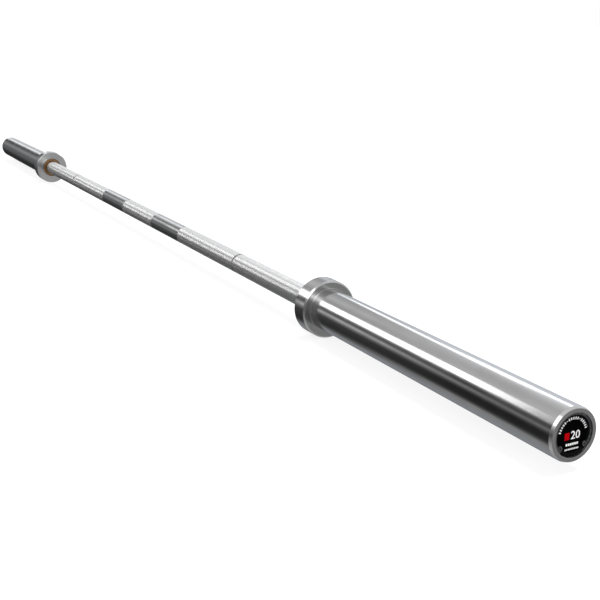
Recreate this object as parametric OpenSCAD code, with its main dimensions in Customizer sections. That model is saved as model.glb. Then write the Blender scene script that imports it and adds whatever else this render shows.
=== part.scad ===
// Olympic barbell with two spinning sleeves, in millimetres.
// The bar lies along X with its middle at the origin, and +Z is up.
// Sizes named _u are distances outboard from a collar's inboard face.

/* [Shaft] */
// Length of shaft between the two collars
grip_l = 1310; // [1000:5:1320]
// Diameter of the smooth shaft
grip_d = 28; // [27:0.5:29]
// Radial step from the grip down to the spindle inside the sleeve
shoulder_step = 1.5; // [1:0.1:2]
// Bevel on the shoulder and on the spindle's end
spindle_bevel = 1; // [0.3:0.1:1.5]
// Spindle left outboard of its snap ring
spindle_land = 5; // [3:0.5:10]

/* [Knurl and ring marks] */
// Length of the knurl at the middle of the bar
centre_knurl_l = 156; // [60:1:200]
// Length of each smooth band beside the centre knurl
band_l = 126; // [60:1:160]
// Distance between the two ring marks, centre to centre
ring_apart = 840; // [760:5:920]
// Width of a ring mark
ring_w = 4; // [2:0.5:8]
// Depth of a ring mark below the smooth shaft
ring_depth = 0.3; // [0.1:0.05:0.5]
// Depth of the knurl's root below the smooth shaft
knurl_depth = 0.15; // [0.05:0.05:0.3]
// Smooth shaft left between the outer knurl and the collar
collar_land = 12; // [5:1:40]

/* [Sleeve] */
// Length of sleeve that plates load onto
load_l = 420; // [300:5:440]
// Outside diameter of the loading sleeve
sleeve_d = 50; // [49:0.5:52]
// Radial gap from the spindle to the sleeve between the bushes
bore_gap = 0.8; // [0.5:0.1:1.2]
// Radial depth of the lead-in chamfer on the sleeve's outer end
sleeve_lead = 1.1; // [0.5:0.1:3]
// Length of that chamfer along the bar
sleeve_lead_l = 3.3; // [1:0.1:6]
// Bevel at the mouth of the sleeve's end bore
mouth_bevel = 0.3; // [0.1:0.1:0.8]

/* [Collar] */
// Outside diameter of the collar
collar_d = 70; // [60:1:90]
// Width of the collar along the bar
collar_w = 25; // [20:1:40]
// Radial step that the collar seats against on the sleeve
collar_seat = 2; // [1:0.5:2.5]
// Bevel on the collar's edge towards the plates
collar_bevel_out = 1.8; // [0.5:0.1:4]
// Bevel on the collar's edge towards the grip
collar_bevel_in = 1.5; // [0.5:0.1:4]

/* [Bushes and thrust washers] */
// Radial running clearance of each bush on the shaft
run_clear = 0.05; // [0.02:0.01:0.09]
// Wall of each bronze bush
bush_wall = 3; // [2:0.25:3.5]
// Radial height of a bush's flange
flange_step = 2.25; // [1.5:0.25:2.75]
// Thickness of a bush's flange
flange_t = 2.5; // [1.5:0.5:4]
// Bevel at the mouth of a bush
bush_bevel = 0.8; // [0.2:0.1:1.2]
// Length of the inner bush, flange included
inner_bush_l = 28; // [15:1:60]
// Length of the outer bush, flange included
outer_bush_l = 28; // [15:1:60]
// Depth of the inner bush's flange below the collar's face
flange_sunk = 1; // [0.5:0.5:4]
// Space between the inner bush and its thrust washer
bush_gap = 1; // [0.6:0.1:3]
// Thickness of a thrust washer
washer_t = 2.5; // [1:0.5:4]
// Radial clearance inside and outside a thrust washer
washer_gap = 0.3; // [0.1:0.1:0.4]
// End float that lets the sleeve spin between its washers
end_float = 0.3; // [0.2:0.05:0.8]

/* [Spindle snap ring] */
// Thickness of the spindle's snap ring
spindle_ring_t = 2; // [1.2:0.1:3]
// Depth of its groove in the spindle
spindle_groove = 0.9; // [0.5:0.1:1.5]
// Radial width of the ring
spindle_ring_w = 3.2; // [2.5:0.1:3.6]
// Radius of the ears for the pliers
spindle_ear_r = 1.9; // [1.7:0.1:2.1]
// Angle from straight down to each ear
spindle_ear_angle = 28; // [20:1:50]

/* [End cap and its snap ring] */
// Radial room around the outer bush's flange
bay_gap = 0.7; // [0.4:0.1:1]
// Radial ledge that the end cap seats on
cap_ledge = 1.5; // [1:0.1:1.8]
// Radial clearance of the end cap in the sleeve
cap_clear = 0.1; // [0.05:0.05:0.3]
// Thickness of the end cap
cap_t = 3; // [2:0.5:6]
// Space between the spindle's end and the cap
cap_gap = 6; // [2:0.5:15]
// Radius of the label
label_r = 16.4; // [10:0.2:16.8]
// Thickness of the label
label_t = 0.4; // [0.2:0.1:0.6]
// Depth of the label's face below the cap's rim
label_sunk = 0.1; // [0.05:0.05:0.3]
// Depth of the cap's snap ring below the sleeve's end face
end_recess = 1.2; // [1:0.1:5]
// Thickness of the cap's snap ring
end_ring_t = 1; // [0.8:0.1:2.5]
// Depth of its groove in the sleeve
end_groove = 1.2; // [0.6:0.1:1.4]
// Radial width of the ring
end_ring_w = 3.2; // [2.8:0.1:4]
// Radius of the ears for the pliers
end_ear_r = 2.3; // [2:0.1:2.6]
// How far the ears' middles lie inside the ring's inner edge
end_ear_inset = 1.1; // [0.5:0.1:1.2]
// Angle from straight down to each ear
end_ear_angle = 52; // [30:1:65]

/* [Both snap rings] */
// Radius of the pliers' hole in each ear
ear_hole_r = 0.9; // [0.6:0.1:1.1]
// Play of a ring in its groove, across its thickness and at its edge
ring_play = 0.05; // [0.02:0.01:0.1]
// How far a ring is thinner at its ears than opposite them
ring_taper = 0.5; // [0:0.1:0.8]

/* [Hidden] */
$fn = 128;

chrome = [0.80, 0.81, 0.83];
knurled_steel = [0.70, 0.71, 0.72];
bronze = [0.62, 0.44, 0.26];
steel = [0.55, 0.56, 0.58];
black_oxide = [0.16, 0.16, 0.17];
black = [0.05, 0.05, 0.06];
label_black = [0.09, 0.09, 0.10];

sleeve_l = collar_w + load_l;

// Radii, from the shaft outwards
grip_r = grip_d / 2;
spindle_r = grip_r - shoulder_step;
knurl_r = grip_r - knurl_depth;
ring_mark_r = grip_r - ring_depth;
bore_r = spindle_r + bore_gap;
inner_bush_bore = grip_r + run_clear;
inner_bush_r = inner_bush_bore + bush_wall;
inner_flange_r = inner_bush_r + flange_step;
outer_bush_bore = spindle_r + run_clear;
outer_bush_r = outer_bush_bore + bush_wall;
outer_flange_r = outer_bush_r + flange_step;
bay_r = outer_flange_r + bay_gap;
end_bore_r = bay_r + cap_ledge;
end_groove_r = end_bore_r + end_groove;
spindle_groove_r = spindle_r - spindle_groove;
sleeve_r = sleeve_d / 2;
spigot_r = sleeve_r - collar_seat;
collar_r = collar_d / 2;
washer_bore = spindle_r + washer_gap;

// Inner stack, from the collar's inboard face outboard
inner_seat_u = flange_sunk + flange_t;
inner_bush_end_u = flange_sunk + inner_bush_l;
inner_washer_u = inner_bush_end_u + bush_gap;
inner_washer_end_u = inner_washer_u + washer_t;
shoulder_u = inner_washer_u - end_float;

// Outer stack, from the sleeve's end back inboard
end_ring_u = sleeve_l - end_recess - end_ring_t;
cap_seat_u = end_ring_u - cap_t;
spindle_end_u = cap_seat_u - cap_gap;
spindle_ring_end_u = spindle_end_u - spindle_land;
spindle_ring_u = spindle_ring_end_u - spindle_ring_t;
outer_washer_end_u = spindle_ring_u - end_float;
outer_washer_u = outer_washer_end_u - washer_t;
outer_seat_u = outer_washer_u - flange_t;
outer_bush_u = outer_washer_u - outer_bush_l;

// Places along the shaft, from its middle
face_x = grip_l / 2;
band_x = centre_knurl_l / 2;
outer_knurl_x = band_x + band_l;
knurl_end_x = face_x - collar_land;
ring_x = ring_apart / 2;

// The left half of every outline is the right half turned over
function both_ways(half) = concat(
    half,
    [for (i = [len(half) - 1 : -1 : 0]) [half[i][0], -half[i][1]]]
);

// Lays a shape drawn along Z along the bar, so that its +X points down
module along_bar() {
    rotate([0, 90, 0]) children();
}

module right_end() {
    translate([face_x, 0, 0]) along_bar() children();
}

module left_end() {
    mirror([1, 0, 0]) right_end() children();
}

// A ring of revolution from one distance to another
module band(r_in, r_out, from_u, to_u) {
    translate([0, 0, from_u]) difference() {
        cylinder(h = to_u - from_u, r = r_out);
        translate([0, 0, -1]) cylinder(h = to_u - from_u + 2, r = r_in);
    }
}

// A slice of pie that opens the ring around straight down
module ring_gap(reach, angle) {
    polygon([[0, 0], [reach, -reach * tan(angle)], [reach, reach * tan(angle)]]);
}

// Places something at both ears, which lie each side of straight down
module at_ears(ear_place_r, angle) {
    for (side = [-1, 1]) rotate([0, 0, side * angle]) translate([ear_place_r, 0]) children();
}

// One piece: grip, ring marks, knurl roots, shoulders, spindles and grooves
module shaft() {
    outline = both_ways([
        [knurl_r, 0],
        [knurl_r, band_x],
        [grip_r, band_x],
        [grip_r, outer_knurl_x],
        [knurl_r, outer_knurl_x],
        [knurl_r, ring_x - ring_w / 2],
        [ring_mark_r, ring_x - ring_w / 2],
        [ring_mark_r, ring_x + ring_w / 2],
        [knurl_r, ring_x + ring_w / 2],
        [knurl_r, knurl_end_x],
        [grip_r, knurl_end_x],
        [grip_r, face_x + shoulder_u - spindle_bevel],
        [grip_r - spindle_bevel, face_x + shoulder_u],
        [spindle_r, face_x + shoulder_u],
        [spindle_r, face_x + spindle_ring_u - ring_play],
        [spindle_groove_r, face_x + spindle_ring_u - ring_play],
        [spindle_groove_r, face_x + spindle_ring_end_u + ring_play],
        [spindle_r, face_x + spindle_ring_end_u + ring_play],
        [spindle_r, face_x + spindle_end_u - spindle_bevel],
        [spindle_r - spindle_bevel, face_x + spindle_end_u],
        [0, face_x + spindle_end_u],
    ]);
    color(knurled_steel) along_bar() rotate_extrude() polygon(outline);
}

// Thick tube with a spigot for the collar, and a seat for each piece inside
module sleeve() {
    outline = [
        [spigot_r, 0],
        [spigot_r, collar_w],
        [sleeve_r, collar_w],
        [sleeve_r, sleeve_l - sleeve_lead_l],
        [sleeve_r - sleeve_lead, sleeve_l],
        [end_bore_r + mouth_bevel, sleeve_l],
        [end_bore_r, sleeve_l - mouth_bevel],
        [end_bore_r, end_ring_u + end_ring_t + ring_play],
        [end_groove_r, end_ring_u + end_ring_t + ring_play],
        [end_groove_r, end_ring_u - ring_play],
        [end_bore_r, end_ring_u - ring_play],
        [end_bore_r, cap_seat_u],
        [bay_r, cap_seat_u],
        [bay_r, outer_seat_u],
        [outer_bush_r, outer_seat_u],
        [outer_bush_r, outer_bush_u],
        [bore_r, outer_bush_u],
        [bore_r, inner_washer_end_u],
        [inner_bush_r, inner_washer_end_u],
        [inner_bush_r, inner_seat_u],
        [inner_flange_r + ring_play, inner_seat_u],
        [inner_flange_r + ring_play, 0],
    ];
    color(chrome) rotate_extrude() polygon(outline);
}

// Ring pressed onto the sleeve's spigot, against the sleeve's step
module collar() {
    outline = [
        [spigot_r, 0],
        [collar_r - collar_bevel_in, 0],
        [collar_r, collar_bevel_in],
        [collar_r, collar_w - collar_bevel_out],
        [collar_r - collar_bevel_out, collar_w],
        [spigot_r, collar_w],
    ];
    color(chrome) rotate_extrude() polygon(outline);
}

// Flanged bronze bush, its flange towards the grip
module inner_bush() {
    outline = [
        [inner_bush_bore + bush_bevel, flange_sunk],
        [inner_flange_r, flange_sunk],
        [inner_flange_r, inner_seat_u],
        [inner_bush_r, inner_seat_u],
        [inner_bush_r, inner_bush_end_u],
        [inner_bush_bore, inner_bush_end_u],
        [inner_bush_bore, flange_sunk + bush_bevel],
    ];
    color(bronze) rotate_extrude() polygon(outline);
}

// Flanged bronze bush, its flange towards the end cap
module outer_bush() {
    outline = [
        [outer_bush_bore, outer_bush_u],
        [outer_bush_r, outer_bush_u],
        [outer_bush_r, outer_seat_u],
        [outer_flange_r, outer_seat_u],
        [outer_flange_r, outer_washer_u],
        [outer_bush_bore + bush_bevel, outer_washer_u],
        [outer_bush_bore, outer_washer_u - bush_bevel],
    ];
    color(bronze) rotate_extrude() polygon(outline);
}

// Steel ring between the shaft's shoulder and the sleeve's inner step
module inner_thrust_washer() {
    color(steel) band(washer_bore, inner_bush_r - washer_gap, inner_washer_u, inner_washer_end_u);
}

// Steel ring between the outer bush's flange and the spindle's snap ring
module outer_thrust_washer() {
    color(steel) band(washer_bore, outer_flange_r, outer_washer_u, outer_washer_end_u);
}

// Open ring in the spindle's groove, with its ears outside
module spindle_snap_ring() {
    ring_r_in = spindle_groove_r + ring_play;
    ring_r_out = ring_r_in + spindle_ring_w;
    color(black_oxide) translate([0, 0, spindle_ring_u]) linear_extrude(spindle_ring_t) {
        difference() {
            union() {
                difference() {
                    translate([-ring_taper / 2, 0]) circle(ring_r_out - ring_taper / 2);
                    ring_gap(2 * ring_r_out, spindle_ear_angle - asin(spindle_ear_r / ring_r_out));
                }
                at_ears(ring_r_out, spindle_ear_angle) circle(spindle_ear_r);
            }
            circle(ring_r_in);
            at_ears(ring_r_out, spindle_ear_angle) circle(ear_hole_r);
        }
    }
}

// Disc on the sleeve's ledge, with a shallow seat for the label
module end_cap() {
    color(black) difference() {
        translate([0, 0, cap_seat_u]) cylinder(h = cap_t, r = end_bore_r - cap_clear);
        translate([0, 0, end_ring_u - label_t - label_sunk])
            cylinder(h = label_t + label_sunk + 1, r = label_r + cap_clear);
    }
}

// Thin round label on the cap
module end_label() {
    color(label_black) translate([0, 0, end_ring_u - label_t - label_sunk])
        cylinder(h = label_t, r = label_r);
}

// Open ring in the sleeve's groove, with its ears inside
module end_snap_ring() {
    ring_r_out = end_groove_r - ring_play;
    ring_r_in = ring_r_out - end_ring_w;
    ear_place_r = ring_r_in - end_ear_inset;
    color(black_oxide) translate([0, 0, end_ring_u]) linear_extrude(end_ring_t) {
        difference() {
            union() {
                difference() {
                    circle(ring_r_out);
                    translate([ring_taper / 2, 0]) circle(ring_r_in + ring_taper / 2);
                    ring_gap(2 * ring_r_out, end_ear_angle - asin(end_ear_r / ear_place_r));
                }
                at_ears(ear_place_r, end_ear_angle) circle(end_ear_r);
            }
            at_ears(ear_place_r, end_ear_angle) circle(ear_hole_r);
        }
    }
}

module left_collar() left_end() collar();
module left_sleeve() left_end() sleeve();
module left_inner_bush() left_end() inner_bush();
module left_inner_thrust_washer() left_end() inner_thrust_washer();
module left_outer_bush() left_end() outer_bush();
module left_outer_thrust_washer() left_end() outer_thrust_washer();
module left_spindle_snap_ring() left_end() spindle_snap_ring();
module left_end_cap() left_end() end_cap();
module left_end_label() left_end() end_label();
module left_end_snap_ring() left_end() end_snap_ring();

module right_collar() right_end() collar();
module right_sleeve() right_end() sleeve();
module right_inner_bush() right_end() inner_bush();
module right_inner_thrust_washer() right_end() inner_thrust_washer();
module right_outer_bush() right_end() outer_bush();
module right_outer_thrust_washer() right_end() outer_thrust_washer();
module right_spindle_snap_ring() right_end() spindle_snap_ring();
module right_end_cap() right_end() end_cap();
module right_end_label() right_end() end_label();
module right_end_snap_ring() right_end() end_snap_ring();

shaft();
left_collar();
left_sleeve();
left_inner_bush();
left_inner_thrust_washer();
left_outer_bush();
left_outer_thrust_washer();
left_spindle_snap_ring();
left_end_cap();
left_end_label();
left_end_snap_ring();
right_collar();
right_sleeve();
right_inner_bush();
right_inner_thrust_washer();
right_outer_bush();
right_outer_thrust_washer();
right_spindle_snap_ring();
right_end_cap();
right_end_label();
right_end_snap_ring();
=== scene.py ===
"""Olympic barbell with two spinning sleeves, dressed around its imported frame.

The bar lies along X with its middle at the origin, and +Z is up. Lengths are metres,
and MM turns millimetres into them. Every round piece is turned about X from an
outline of (along, out) corners: along is the distance from the middle of the bar, and
out is the distance from its axis.
"""

import logging
import math
from dataclasses import dataclass, field, replace
from enum import Enum

import bmesh
import bpy
from bmesh.types import BMesh, BMVert
from bpy.types import ID, Material, Mesh, Node, NodeSocket, NodeTree, Object
from mathutils import Matrix, Vector
from mathutils.geometry import tessellate_polygon


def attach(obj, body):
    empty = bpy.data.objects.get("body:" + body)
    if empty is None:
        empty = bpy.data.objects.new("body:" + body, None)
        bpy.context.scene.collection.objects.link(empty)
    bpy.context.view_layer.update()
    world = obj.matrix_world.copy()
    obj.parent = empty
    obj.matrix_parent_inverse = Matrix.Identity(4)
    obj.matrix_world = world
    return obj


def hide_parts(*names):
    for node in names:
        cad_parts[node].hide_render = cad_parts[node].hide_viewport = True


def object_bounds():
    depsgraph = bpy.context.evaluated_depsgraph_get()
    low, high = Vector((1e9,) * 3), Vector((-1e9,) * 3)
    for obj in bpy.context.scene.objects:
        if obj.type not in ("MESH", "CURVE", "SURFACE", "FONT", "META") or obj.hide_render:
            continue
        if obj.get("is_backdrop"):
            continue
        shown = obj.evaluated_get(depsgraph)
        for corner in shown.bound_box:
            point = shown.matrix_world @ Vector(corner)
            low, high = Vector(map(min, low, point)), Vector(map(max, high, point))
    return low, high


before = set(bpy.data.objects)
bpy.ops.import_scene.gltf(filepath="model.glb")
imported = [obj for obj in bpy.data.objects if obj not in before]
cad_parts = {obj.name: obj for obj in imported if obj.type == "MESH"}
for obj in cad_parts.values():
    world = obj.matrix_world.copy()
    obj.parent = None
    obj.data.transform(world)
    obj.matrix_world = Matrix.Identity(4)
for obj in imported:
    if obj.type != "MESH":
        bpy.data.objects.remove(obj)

LOG = logging.getLogger("barbell")
MM = 0.001
Colour = tuple[float, float, float]
Number = NodeSocket | float
Tint = NodeSocket | Colour
Pair = tuple[float, float]
Corners = list[tuple[float, ...]]
# Where nearly all of a noise's values lie
NOISE: Pair = (0.2, 0.8)


class Side(Enum):
    """The end of the bar that a piece belongs to, with its sign along X."""

    LEFT = -1
    RIGHT = 1

    def node(self, part: str) -> str:
        """The name of this end's CAD node or piece."""
        return f"{self.name.lower()}_{part}"

    @property
    def body(self) -> str:
        """The CAD body that spins at this end."""
        return self.node("sleeve_group")

    def facing_out(self, along: float) -> Matrix:
        """Turns a flat drawing to face outwards at this end.

        Args:
            along: Distance of the drawing's plane from the middle of the bar.

        Returns:
            A matrix that takes the drawing's right, up and front to the bar's frame.
        """
        sign = self.value
        return Matrix(((0, 0, sign, sign * along), (sign, 0, 0, 0), (0, 1, 0, 0), (0, 0, 0, 1)))


class Shading(Enum):
    """How the faces of a piece meet in its shading."""

    FLAT = "flat"
    SMOOTH = "smooth"


@dataclass(frozen=True)
class Reach:
    """How far a CAD node reaches along the bar and out from its axis."""

    near: float
    far: float
    inner: float
    outer: float

    @classmethod
    def of(cls, node: str) -> "Reach":
        """Measures a CAD node.

        Args:
            node: The node's name.

        Returns:
            Its least and greatest distance from the middle and from the axis.
        """
        corners = [v.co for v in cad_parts[node].data.vertices]
        along = [abs(co.x) for co in corners]
        out = [math.hypot(co.y, co.z) for co in corners]
        return cls(min(along), max(along), min(out), max(out))


@dataclass(frozen=True)
class Corner:
    """A corner of a turned outline, and the radius that eases it."""

    along: float
    out: float
    edge: float = 0.12 * MM


class Board:
    """A node tree with short calls for adding and joining nodes."""

    def __init__(self, tree: NodeTree) -> None:
        """Keeps the tree that the calls add to."""
        self.tree = tree

    def add(self, kind: str, inputs: dict | None = None, **settings: str) -> Node:
        """Adds a node.

        Args:
            kind: The node's type name.
            inputs: Values or sockets for its inputs, by name or by number.
            **settings: Properties of the node.

        Returns:
            The new node.
        """
        node = self.tree.nodes.new(kind)
        for name, value in settings.items():
            setattr(node, name, value)
        for key, value in (inputs or {}).items():
            self.feed(node.inputs[key], value)
        return node

    def feed(self, socket: NodeSocket, value: Number | tuple) -> None:
        """Joins a socket to another one, or sets its value.

        Args:
            socket: The input to feed.
            value: The socket or the value that it takes.
        """
        if isinstance(value, NodeSocket):
            self.tree.links.new(value, socket)
        else:
            socket.default_value = value

    def math(self, operation: str, *values: Number) -> NodeSocket:
        """Adds a Math node and gives its result."""
        return self.add("ShaderNodeMath", dict(enumerate(values)), operation=operation).outputs[0]

    def spread(
        self, value: Number, low: float, high: float, to_low: float = 0, to_high: float = 1
    ) -> NodeSocket:
        """Adds a Map Range node with smooth ends.

        Args:
            value: The socket to map.
            low: Value that gives to_low.
            high: Value that gives to_high.
            to_low: Result at low.
            to_high: Result at high.

        Returns:
            Its result.
        """
        inputs = {0: value, 1: low, 2: high, 3: to_low, 4: to_high}
        kind = "ShaderNodeMapRange"
        return self.add(kind, inputs, interpolation_type="SMOOTHSTEP").outputs[0]

    def blend(self, factor: Number, first: Tint, second: Tint) -> NodeSocket:
        """Adds a Mix node for colours.

        Args:
            factor: Share of the second colour.
            first: The first colour.
            second: The second colour.

        Returns:
            The mixed colour.
        """
        node = self.add("ShaderNodeMix", data_type="RGBA")
        colours = [s for s in node.inputs if s.type == "RGBA"]
        self.feed(node.inputs["Factor"], factor)
        for socket, value in zip(colours, (first, second)):
            self.feed(socket, value if isinstance(value, NodeSocket) else (*value, 1))
        return next(s for s in node.outputs if s.type == "RGBA")

    def noise(self, place: NodeSocket, size: float, detail: float = 2) -> NodeSocket:
        """Adds a Noise Texture.

        Args:
            place: The coordinate that it reads.
            size: Size of its features.
            detail: Octaves of finer features.

        Returns:
            Its value.
        """
        inputs = {"Vector": place, "Scale": 1 / size, "Detail": detail}
        return self.add("ShaderNodeTexNoise", inputs).outputs[0]


class Paint(Board):
    """The node tree of one material, whose patterns lead to its shader."""

    def __init__(self, material: Material, metal: float, gloss: float) -> None:
        """Starts the material.

        Args:
            material: The new material.
            metal: How metallic it is.
            gloss: Strength of its mirror image where it isn't metal.
        """
        material.use_nodes = True
        super().__init__(material.node_tree)
        self.place = self.add("ShaderNodeTexCoord").outputs["Object"]
        self.shader = self.tree.nodes["Principled BSDF"]
        self.feed(self.shader.inputs["Metallic"], metal)
        self.feed(self.shader.inputs["Specular IOR Level"], gloss)

    def turned_place(self) -> tuple[NodeSocket, NodeSocket]:
        """Adds coordinates for a piece that was turned about the bar's axis.

        Returns:
            The distance from the axis, and a coordinate that is the same all the way
            round, for marks left by a turning tool.
        """
        parts = self.add("ShaderNodeSeparateXYZ", {0: self.place}).outputs
        squares = [self.math("MULTIPLY", parts[i], parts[i]) for i in (1, 2)]
        out = self.math("SQRT", self.math("ADD", *squares))
        return out, self.add("ShaderNodeCombineXYZ", {0: parts[0], 1: out}).outputs[0]

    def coat(self, colour: Tint, roughness: Number, height: Number, relief: Pair) -> None:
        """Joins the patterns to the shader.

        Args:
            colour: The surface's colour.
            roughness: Its roughness.
            height: Relief too fine to be modelled, from 0 to 1.
            relief: How strongly the relief shows, and its depth.
        """
        share, depth = relief
        bump = self.add("ShaderNodeBump", {"Strength": share, "Distance": depth, "Height": height})
        surface = {"Base Color": colour, "Roughness": roughness, "Normal": bump.outputs[0]}
        for name, value in surface.items():
            self.feed(self.shader.inputs[name], value)


@dataclass(frozen=True)
class Finish:
    """A surface finish: its name, the name of its slot, which nothing here reads, and its shader.
    """

    name: str
    slot: str
    metal: float = 1
    gloss: float = 0.5

    def material(self) -> Material:
        """Builds the finish's material.

        Returns:
            The material.
        """
        material = bpy.data.materials.new(self.name)
        self.cover(Paint(material, self.metal, self.gloss))
        return material

    def cover(self, paint: Paint) -> None:
        """Adds the finish's own patterns."""
        raise NotImplementedError


@dataclass(frozen=True)
class TurnedMetal(Finish):
    """Turned and polished metal, with tool marks and a little handling haze.

    Nearer the axis than its recess radius it is rougher and darker; the darker colour is painted
    shade in bores and grooves.
    """

    colour: Colour = (0.63, 0.63, 0.63)
    rub_colour: Colour = (0.58, 0.58, 0.58)
    rub_range: Pair = (0.35, 0.72)
    roughness: float = 0.12
    haze: float = 0.05
    haze_size: float = MM / 0.035
    haze_range: Pair = (0.3, 0.7)
    mark_pitch: float = 0.35 * MM
    relief: Pair = (1, 0.0006 * MM)
    recess: float = 0
    recess_roughness: float = 0.3
    recess_painted_shade: Colour = (0.12, 0.12, 0.12)

    def cover(self, paint: Paint) -> None:
        """Adds haze, rubbed patches, turning marks and painted shade in recesses.

        Args:
            paint: The material to add them to.
        """
        out, lathe = paint.turned_place()
        marks = paint.noise(lathe, self.mark_pitch, 3)
        cloud = paint.noise(paint.place, self.haze_size, 4)
        hazy = paint.spread(cloud, *self.haze_range, self.roughness, self.roughness + self.haze)
        rough = paint.math("MULTIPLY_ADD", marks, self.haze, hazy)
        rubbed = paint.spread(cloud, *self.rub_range)
        colour = paint.blend(rubbed, self.colour, self.rub_colour)
        if self.recess:
            # Painted shade: inside the recess radius the colour is blended to a dark one
            inside = paint.math("LESS_THAN", out, self.recess)
            rough = paint.math("MULTIPLY_ADD", inside, self.recess_roughness, rough)
            colour = paint.blend(inside, colour, self.recess_painted_shade)
        paint.coat(colour, rough, marks, self.relief)


@dataclass(frozen=True)
class KnurledMetal(Finish):
    """Chrome over cut diamonds: bright worn crests, and rougher roots darkened by painted shade."""

    metal: float = 0.7
    root: float = 13.85 * MM
    crest: float = 14 * MM
    colour: Colour = (0.8, 0.8, 0.8)
    root_painted_shade: Colour = (0.5, 0.5, 0.5)
    worn_colour: Colour = (0.5, 0.5, 0.5)
    patch_size: float = 2.2 * MM
    patch_range: Pair = (0.5, 0.62)
    grain_size: float = MM / 1.4
    grain_haze: float = 0.06
    roughness: float = 0.06
    root_roughness: float = 0.14
    relief: Pair = (0.5, 0.005 * MM)

    def cover(self, paint: Paint) -> None:
        """Adds rougher roots with painted shade, worn patches and grain.

        Args:
            paint: The material to add them to.
        """
        out, _ = paint.turned_place()
        height = paint.spread(out, self.root, self.crest)
        grain = paint.noise(paint.place, self.grain_size, 3)
        worn = paint.spread(paint.noise(paint.place, self.patch_size), *self.patch_range)
        # Painted shade: the colour darkens from crest to root
        colour = paint.blend(height, self.root_painted_shade, self.colour)
        colour = paint.blend(worn, colour, self.worn_colour)
        dull = paint.spread(height, 0, 1, self.root_roughness, self.roughness)
        rough = paint.math("MULTIPLY_ADD", grain, self.grain_haze, dull)
        paint.coat(colour, rough, grain, self.relief)


@dataclass(frozen=True)
class SinteredBronze(Finish):
    """Oil-filled bronze pressed from powder, with open pores and dark oily patches."""

    colour: Colour = (0.52, 0.30, 0.15)
    oily_colour: Colour = (0.30, 0.17, 0.085)
    pore_size: float = 0.3 * MM
    pore_range: Pair = (0.12, 0.3)
    oil_size: float = 6.25 * MM
    oil_range: Pair = (0.42, 0.7)
    oil_share: float = 0.8
    mark_pitch: float = MM / 2.2
    roughness: float = 0.42
    oily_roughness: float = 0.3
    relief: Pair = (0.7, 0.008 * MM)

    def cover(self, paint: Paint) -> None:
        """Adds pores, oil stains and turning marks.

        Args:
            paint: The material to add them to.
        """
        _, lathe = paint.turned_place()
        pores = {"Vector": paint.place, "Scale": 1 / self.pore_size}
        cells = paint.add("ShaderNodeTexVoronoi", pores).outputs["Distance"]
        pore = paint.spread(cells, *self.pore_range, 1, 0)
        stains = paint.noise(paint.place, self.oil_size, 4)
        oil = paint.spread(stains, *self.oil_range, 0, self.oil_share)
        dark = paint.math("MAXIMUM", pore, oil)
        colour = paint.blend(dark, self.colour, self.oily_colour)
        rough = paint.spread(oil, 0, 1, self.roughness, self.oily_roughness)
        height = paint.math("SUBTRACT", paint.noise(lathe, self.mark_pitch), pore)
        paint.coat(colour, rough, height, self.relief)


@dataclass(frozen=True, kw_only=True)
class Coating(Finish):
    """A thin coat or a moulded skin, with fine grain and patches of another colour."""

    metal: float = 0
    colour: Colour
    patch_colour: Colour
    patch_size: float
    patch_range: Pair
    patch_detail: float = 4
    patch_stretch: float = 1
    grain_size: float
    grain_detail: float
    roughness: Pair
    relief: Pair

    def cover(self, paint: Paint) -> None:
        """Adds the patches and the grain, which is rougher where it is high.

        Args:
            paint: The material to add them to.
        """
        stretch = {0: paint.place, "Scale": (1, self.patch_stretch, 1)}
        across = paint.add("ShaderNodeMapping", stretch).outputs[0]
        patches = paint.noise(across, self.patch_size, self.patch_detail)
        patch = paint.spread(patches, *self.patch_range)
        colour = paint.blend(patch, self.colour, self.patch_colour)
        grain = paint.noise(paint.place, self.grain_size, self.grain_detail)
        rough = paint.spread(grain, *NOISE, *self.roughness)
        paint.coat(colour, rough, grain, self.relief)


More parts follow.
